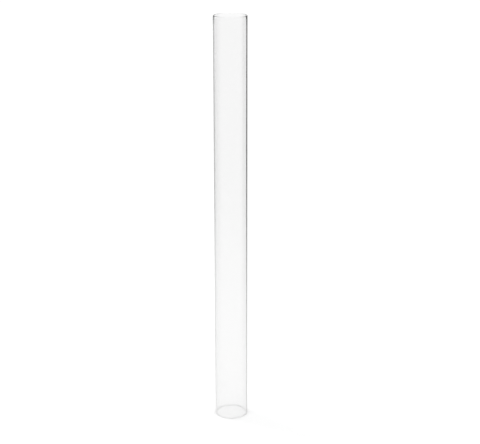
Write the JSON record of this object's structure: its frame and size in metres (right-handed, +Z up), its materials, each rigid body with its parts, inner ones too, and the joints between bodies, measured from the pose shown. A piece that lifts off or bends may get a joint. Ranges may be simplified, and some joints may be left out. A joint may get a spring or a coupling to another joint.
{
  "type": "glass tube",
  "caption": "Straight clear glass tube, open at both ends with narrow fire-polished rims, for use upright as a column, jacket, sleeve or wind shield.",
  "frame": {"origin": "centre of the bottom opening, in the plane of the bottom rim that the tube stands on", "axes": "+Z up along the tube's axis; the tube is round, so +X and +Y are any two square directions across it"},
  "size_m": [0.04, 0.04, 0.5],
  "materials": {
    "clear_glass": "clear, colourless, polished drawn glass"
  },
  "bodies": {
    "root": {"glass_tube": "clear_glass"}
  },
  "joints": []
}
